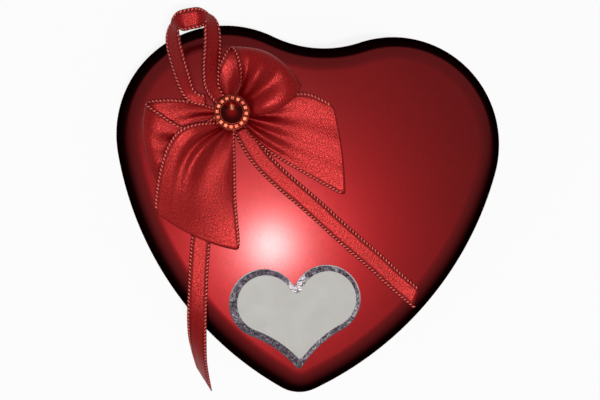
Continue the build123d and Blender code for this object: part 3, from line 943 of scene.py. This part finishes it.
class HEARTTIN_OT_label(bpy.types.Operator):
    """Press the crinkled foil label onto the lid, with its plain face"""

    bl_idname = "heart_tin.label"
    bl_label = "Label"

    # Rings of the foil, as shares of its outline.
    RING_SHARES = (1.0, 0.985, 0.965, 0.94, 0.915, 0.89, 0.865, 0.84, 0.80)
    # The top's faces are those whose normal's height is past this.
    TOP_NORMAL = 0.9
    # Creases per millimetre, the fine ones' share of the depth, and how far a crease may rise.
    CREASE_GRAIN = 1.15
    FINE_GRAIN = 2.7
    FINE_SHARE = 0.55
    CREASE_LIMIT = 0.06 * MM
    SHARP_ANGLE = 40

    def execute(self, context):
        colours = context.scene.heart_tin.colours
        shape = self.rings()
        self.crinkle(shape, context.scene.heart_tin.sizes.crinkle)
        self.close_below(shape)
        name = "label_foil_crinkled"
        finishes = [crinkled_foil(colours), foil_line(colours)]
        new_piece(name, shape, finishes, "lid", "label_foil", self.SHARP_ANGLE)
        dress_node("label_face", pearl_film(colours))
        return {"FINISHED"}

    def rings(self):
        """The foil's top as rings that shrink from its outline. The first is its folded edge."""
        shape = node_copy("label_foil")
        others = [face for face in shape.faces if face.normal.z < self.TOP_NORMAL]
        bmesh.ops.delete(shape, geom=others, context="FACES")
        bmesh.ops.dissolve_faces(shape, faces=shape.faces)
        outline = open_edges(shape)
        bmesh.ops.delete(shape, geom=shape.faces[:], context="FACES_ONLY")
        bmesh.ops.subdivide_edges(shape, edges=outline, cuts=1)
        edges = shape.edges[:]
        rings = []
        for before, after in zip(self.RING_SHARES, self.RING_SHARES[1:]):
            grown = bmesh.ops.extrude_edge_only(shape, edges=edges)
            verts = of_kind(grown, BMVert)
            edges = of_kind(grown, BMEdge)
            rings.append(of_kind(grown, BMFace))
            shrunk = (after / before, after / before, 1.0)
            bmesh.ops.scale(shape, vec=shrunk, verts=verts, space=Matrix.Translation(-foil_centre))
        bmesh.ops.contextual_create(shape, geom=edges)
        for face in rings[0]:
            face.material_index = 1
        return shape

    def crinkle(self, shape, depth):
        """Raises and sinks all points but the outline's, and turns the faces up."""
        for vert in shape.verts:
            if not vert.is_boundary:
                spot = vert.co * MM_PER_METRE
                crease = noise.noise(spot * self.CREASE_GRAIN)
                crease += self.FINE_SHARE * noise.noise(spot * self.FINE_GRAIN)
                vert.co.z += min(depth * crease, self.CREASE_LIMIT)
        bmesh.ops.recalc_face_normals(shape, faces=shape.faces)
        if sum(face.normal.z * face.calc_area() for face in shape.faces) < 0:
            bmesh.ops.reverse_faces(shape, faces=shape.faces)

    def close_below(self, shape):
        """Draws the outline down to the lid and closes the underside."""
        grown = bmesh.ops.extrude_edge_only(shape, edges=open_edges(shape))
        drop = (0, 0, foil_low.z - foil_high.z)
        bmesh.ops.translate(shape, vec=drop, verts=of_kind(grown, BMVert))
        bmesh.ops.contextual_create(shape, geom=of_kind(grown, BMEdge))
        bmesh.ops.recalc_face_normals(shape, faces=shape.faces)


class HEARTTIN_OT_wide_ribbons(bpy.types.Operator):
    """Fold the bow's two loops and two tails from wide ribbon, with stitched edges"""

    bl_idname = "heart_tin.wide_ribbons"
    bl_label = "Loops and tails"

    # Each ribbon's part, rows, folds and tuck.
    RIBBONS = (
        ("bow_right_loop", RIGHT_LOOP_ROWS, RIGHT_LOOP_FOLD_SHARES, (0, 2)),
        ("bow_left_loop", LEFT_LOOP_ROWS, LEFT_LOOP_FOLD_SHARES, (3, 0)),
        ("bow_down_tail", DOWN_TAIL_ROWS, DOWN_TAIL_FOLD_SHARES, (0, 0)),
        ("bow_right_tail", RIGHT_TAIL_ROWS, RIGHT_TAIL_FOLD_SHARES, (0, 0)),
    )

    def execute(self, context):
        sizes = context.scene.heart_tin.sizes
        cloth = finish_of("satin_wide")
        thread = finish_of("edge_thread")
        width = sizes.ribbon_width / MM
        for node, rows, fold_shares, tuck in self.RIBBONS:
            shape, length = fold_ribbon(rows, fold_shares, width, tuck)
            piece = new_piece(node + "_satin", shape, [cloth], "lid", node)
            add_thickness(piece, sizes.ribbon_thickness, sizes.smoothing)
            stitches = stitch_edges(piece, width, thread, sizes)
            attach(stitches, "lid")
            length * MM
        return {"FINISHED"}


class HEARTTIN_OT_narrow_ribbons(bpy.types.Operator):
    """Lay the two streamers and the hanging loop of narrow ribbon along their routes"""

    bl_idname = "heart_tin.narrow_ribbons"
    bl_label = "Streamers and loop"

    # Each band's part, route, leans in degrees, width shares, slant of its cut in millimetres and far end.
    BANDS = (
        ("streamer_left", STREAMER_LEFT_ROUTE, STREAMER_LEFT_LEANS, FULL_WIDTH_SHARES, 6.0, "bare"),
        ("streamer_right", STREAMER_RIGHT_ROUTE, STREAMER_RIGHT_LEANS, FULL_WIDTH_SHARES, -2.0, "bare"),
        ("hanging_loop", HANGING_LOOP_ROUTE, HANGING_LOOP_LEANS, HANGING_LOOP_WIDTH_SHARES, 0.0, "object"),
    )
    COLUMNS = 7

    def execute(self, context):
        sizes = context.scene.heart_tin.sizes
        cloth = finish_of("satin_narrow")
        thread = finish_of("edge_thread")
        for node, route, leans, width_shares, cut, far_end in self.BANDS:
            line = route_line(node, route)
            shape, length = flat_band(line, leans, width_shares, sizes.band_width, cut, self.COLUMNS)
            piece = new_piece(node + "_satin", shape, [cloth], replaced=node)
            add_thickness(piece, sizes.ribbon_thickness, 0)
            stitches = stitch_edges(piece, sizes.band_width / MM, thread, sizes)
            for part in (piece, stitches):
                if node == "hanging_loop":
                    self.bend(part)
                else:
                    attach(part, "lid")
        return {"FINISHED"}

    def bend(self, part):
        """Bakes a part of the loop's placement into its points."""
        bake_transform(part)


class HEARTTIN_OT_knot(bpy.types.Operator):
    """Gather the middle of the bow into pleats, on its pad of glue"""

    bl_idname = "heart_tin.knot"
    bl_label = "Knot"

    PROFILE_SHARES = (
        (0.0, 0.0), (0.80, 0.0), (0.96, 0.06), (0.98, 0.2), (0.92, 0.5),
        (0.98, 0.8), (0.96, 0.94), (0.80, 1.0), (0.0, 1.0),
    )
    CUTS = 2
    STEPS = 104
    PLEATS = 13
    # How far the pleats' phase drifts, in radians, and how deep they are as a share of the radius.
    PLEAT_DRIFT = 2.2
    PLEAT_DEPTH_SHARE = 0.16

    def execute(self, context):
        dress_node("bow_glue_pad", hot_glue(context.scene.heart_tin.colours))
        shape = spun_shape(self.PROFILE_SHARES, knot_low, knot_high, self.STEPS, self.CUTS)
        flat = shape.loops.layers.uv.new(UV_NAME)
        radius = (knot_high.x - knot_low.x) / 2
        for vert in shape.verts:
            out = vert.co - bow_centre
            turn = math.atan2(out.y, out.x)
            pleat = 0.5 + 0.5 * math.cos(self.PLEATS * turn + self.PLEAT_DRIFT * math.sin(2 * turn))
            share = min(1.0, math.hypot(out.x, out.y) / radius)
            drawn = 1.0 - self.PLEAT_DEPTH_SHARE * pleat * share**2
            vert.co.x = bow_centre.x + out.x * drawn
            vert.co.y = bow_centre.y + out.y * drawn
            for loop in vert.link_loops:
                loop[flat].uv = (turn * radius / MM, out.z / MM)
        new_piece("bow_knot_pleated", shape, [finish_of("satin_wide")], "lid", "bow_knot")
        return {"FINISHED"}


class HEARTTIN_OT_brooch(bpy.types.Operator):
    """Set the cut beads and the centre stone into the brooch's cup"""

    bl_idname = "heart_tin.brooch"
    bl_label = "Brooch"

    BEADS = 16
    BEAD_BEVEL_SHARE = 0.18
    # Grain of the worn patches, per metre.
    CUP_WEAR = 380.0
    BEAD_WEAR = 620.0
    STONE_SHARES = (
        (0.0, 0.0), (0.985, 0.0), (1.0, 0.02), (1.0, 0.40), (0.985, 0.435), (0.88, 0.495),
        (0.62, 0.655), (0.36, 0.825), (0.20, 0.935), (0.12, 0.98), (0.05, 0.998), (0.0, 1.0),
    )
    STONE_STEPS = 72
    STONE_SHARP_ANGLE = 50

    def execute(self, context):
        colours = context.scene.heart_tin.colours
        dull, bright = colours.plating_dull, colours.plating_bright
        dress_node("brooch_cup", brooch_plating("brooch_metal", dull, bright, self.CUP_WEAR))
        dull, bright = colours.bead_dull, colours.bead_bright
        self.beads(brooch_plating("brooch_beads", dull, bright, self.BEAD_WEAR))
        self.stone(polished_stone(colours))
        return {"FINISHED"}

    def beads(self, material):
        shape = bmesh.new()
        size = bead_high.z - bead_low.z
        ring = (bead_high.x - bead_low.x) / 2 - size / 2
        middle = Vector((bow_centre.x, bow_centre.y, (bead_low.z + bead_high.z) / 2))
        for number in range(self.BEADS):
            turn = Matrix.Rotation(math.tau * number / self.BEADS, 4, "Z")
            place = Matrix.Translation(middle) @ turn @ Matrix.Translation((ring, 0, 0))
            made = bmesh.ops.create_cube(shape, size=size, matrix=place)
            edges = {edge for vert in made["verts"] for edge in vert.link_edges}
            bmesh.ops.bevel(
                shape,
                geom=list(edges),
                offset=size * self.BEAD_BEVEL_SHARE,
                affect="EDGES",
                segments=1,
                profile=0.5,
                material=-1,
            )
        piece = new_piece("brooch_beads_cut", shape, [material], "lid", "brooch_beads")
        piece.data.shade_flat()

    def stone(self, material):
        shape = spun_shape(self.STONE_SHARES, stone_low, stone_high, self.STONE_STEPS)
        name = "brooch_stone_polished"
        new_piece(name, shape, [material], "lid", "brooch_stone", self.STONE_SHARP_ANGLE)


class HEARTTIN_OT_stage(bpy.types.Operator):
    """Set the floor, the lamps, the world and the camera"""

    bl_idname = "heart_tin.stage"
    bl_label = "Stage"

    # Camera: its place, what it looks at, its turn in degrees, and its lens.
    CAMERA_SPOT = Vector((-22.1, 8.4, 266.2)) * MM
    CAMERA_AIM = Vector((-2.32, 3.5, 33.6)) * MM
    CAMERA_TURN = 3.04
    FOCAL_PIXELS = 815.0
    PHOTO_PIXELS = 600
    SENSOR_WIDTH = 36.0
    CLIP_START = 10 * MM
    # Spots on the lid and the bow that the lamps light, and the place and aim of the one from the left.
    SHINE_SPOT = Vector((-12.0, -11.5, 38.0)) * MM
    BOW_SPOT = Vector((-18.0, 20.0, 38.0)) * MM
    FILL_SPOT = Vector((-0.55, -0.25, 0.55))
    FILL_AIM = Vector((0, 0, 0.03))
    FLOOR_REACH = 3.0
    # Light that the world sheds on the object, where 1 is what the background shows.
    SKY_LEVEL = 0.30

    def execute(self, context):
        scene = context.scene
        scene.view_settings.view_transform = "Standard"
        self.floor(scene)
        self.world(scene)
        self.camera(scene)
        self.lamp(scene, "key", *self.mirrored(self.SHINE_SPOT, distance=0.50), size=0.03, power=1.5)
        self.lamp(scene, "bow_light", *self.mirrored(self.BOW_SPOT, distance=0.60), size=0.15, power=0.20)
        self.lamp(scene, "fill_left", self.FILL_SPOT, self.FILL_AIM, size=0.5, power=0.4)
        return {"FINISHED"}

    def mirrored(self, spot, distance):
        """A lamp's place that the camera sees mirrored in the lid at a spot, and that spot."""
        way = spot - self.CAMERA_SPOT
        return spot + Vector((way.x, way.y, -way.z)).normalized() * distance, spot

    def floor(self, scene):
        shape = bmesh.new()
        bmesh.ops.create_grid(shape, x_segments=2, y_segments=2, size=self.FLOOR_REACH)
        new_piece("floor", shape, [floor_paper(scene.heart_tin.colours.floor)])

    def world(self, scene):
        scene.world = bpy.data.worlds.new("studio")
        scene.world.use_nodes = True
        made = Nodes(scene.world.node_tree)
        sky = made.tree.nodes["Background"]
        levels = {"Value": made.seen_rays(), "To Min": self.SKY_LEVEL, "To Max": 1.0}
        made.feed(sky.inputs["Color"], (1.0, 1.0, 1.0))
        made.feed(sky.inputs["Strength"], made.node("MapRange", {}, levels))

    def camera(self, scene):
        lens = bpy.data.cameras.new("camera")
        lens.sensor_width = self.SENSOR_WIDTH
        lens.lens = self.FOCAL_PIXELS * self.SENSOR_WIDTH / self.PHOTO_PIXELS
        lens.clip_start = self.CLIP_START
        camera = bpy.data.objects.new("camera", lens)
        scene.collection.objects.link(camera)
        scene.camera = camera
        forward = (self.CAMERA_AIM - self.CAMERA_SPOT).normalized()
        turn = math.radians(self.CAMERA_TURN)
        right = forward.cross(Vector((-math.sin(turn), math.cos(turn), 0.0))).normalized()
        upward = right.cross(forward)
        turned = Matrix((right, upward, -forward)).transposed().to_4x4()
        camera.matrix_world = Matrix.Translation(self.CAMERA_SPOT) @ turned

    def lamp(self, scene, name, spot, aim, size, power):
        light = bpy.data.lights.new(name, "AREA")
        light.shape = "DISK"
        light.size = size
        light.energy = power
        lamp = bpy.data.objects.new(name, light)
        lamp.location = spot
        lamp.rotation_mode = "QUATERNION"
        lamp.rotation_quaternion = (aim - spot).to_track_quat("-Z", "Y")
        scene.collection.objects.link(lamp)


class HEARTTIN_PT_panel(bpy.types.Panel):
    """Lists the steps that build the tin, with its settings"""

    bl_idname = "HEARTTIN_PT_panel"
    bl_label = "Heart Tin"
    bl_space_type = "VIEW_3D"
    bl_region_type = "UI"
    bl_category = "Heart Tin"

    def draw(self, context):
        for operator in OPERATORS:
            self.layout.operator(operator.bl_idname)
        settings = context.scene.heart_tin
        for group in (settings.sizes, settings.colours):
            column = self.layout.column()
            for name in group.__annotations__:
                column.prop(group, name)


OPERATORS = (
    HEARTTIN_OT_finishes,
    HEARTTIN_OT_tin,
    HEARTTIN_OT_label,
    HEARTTIN_OT_wide_ribbons,
    HEARTTIN_OT_narrow_ribbons,
    HEARTTIN_OT_knot,
    HEARTTIN_OT_brooch,
    HEARTTIN_OT_stage,
)
CLASSES = (HeartTinSizes, HeartTinColours, HeartTinSettings, *OPERATORS, HEARTTIN_PT_panel)


def register():
    for made in CLASSES:
        bpy.utils.register_class(made)
    bpy.types.Scene.heart_tin = PointerProperty(type=HeartTinSettings)


def unregister():
    del bpy.types.Scene.heart_tin
    for made in reversed(CLASSES):
        bpy.utils.unregister_class(made)


def main():
    register()
    bpy.ops.heart_tin.finishes()
    bpy.ops.heart_tin.tin()
    bpy.ops.heart_tin.label()
    bpy.ops.heart_tin.wide_ribbons()
    bpy.ops.heart_tin.narrow_ribbons()
    bpy.ops.heart_tin.knot()
    bpy.ops.heart_tin.brooch()
    bpy.ops.heart_tin.stage()


if __name__ == "__main__":
    main()
